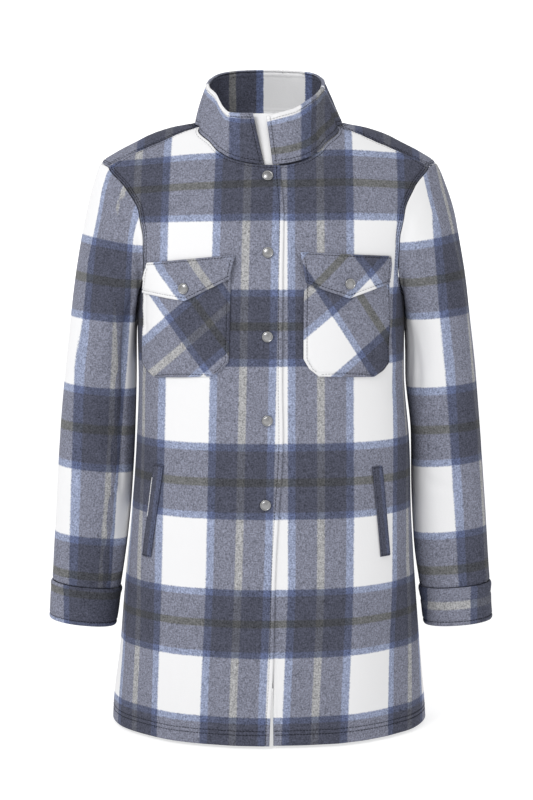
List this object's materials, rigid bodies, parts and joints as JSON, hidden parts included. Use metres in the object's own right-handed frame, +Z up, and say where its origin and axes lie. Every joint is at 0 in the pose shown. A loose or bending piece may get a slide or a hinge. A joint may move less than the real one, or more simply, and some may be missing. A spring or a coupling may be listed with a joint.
{
  "type": "shacket",
  "caption": "Long plaid shirt-jacket with a stand collar, lapped snap front, flapped chest pockets, slanted side pockets and cuffed sleeves, worn as a light coat.",
  "frame": {"origin": "midway between the two neck points, on the line of the shoulders, where the wearer carries the garment", "axes": "+Z up along the length of the garment, -Y out of its front, +X to the left-hand side of the wearer"},
  "size_m": [0.5824, 0.2866, 0.8478],
  "materials": {
    "plaid_cloth": "brushed woven plaid, dull",
    "bias_plaid_cloth": "brushed woven plaid cut on the bias, dull",
    "pale_strip": "brushed pale cloth, dull",
    "snap_metal": "satin"
  },
  "bodies": {
    "root": {"back": "plaid_cloth", "front_right": "plaid_cloth", "front_left": "plaid_cloth", "sleeve_right": "plaid_cloth", "sleeve_left": "plaid_cloth", "cuff_right": "plaid_cloth", "cuff_left": "plaid_cloth", "collar": "plaid_cloth", "collar_underlap": "pale_strip", "pocket_right": "bias_plaid_cloth", "pocket_left": "bias_plaid_cloth", "flap_right": "bias_plaid_cloth", "flap_left": "bias_plaid_cloth", "welt_right": "plaid_cloth", "welt_left": "plaid_cloth", "snap_front_1": "snap_metal", "snap_front_2": "snap_metal", "snap_front_3": "snap_metal", "snap_front_4": "snap_metal", "snap_front_5": "snap_metal", "snap_pocket_right": "snap_metal", "snap_pocket_left": "snap_metal"}
  },
  "joints": []
}
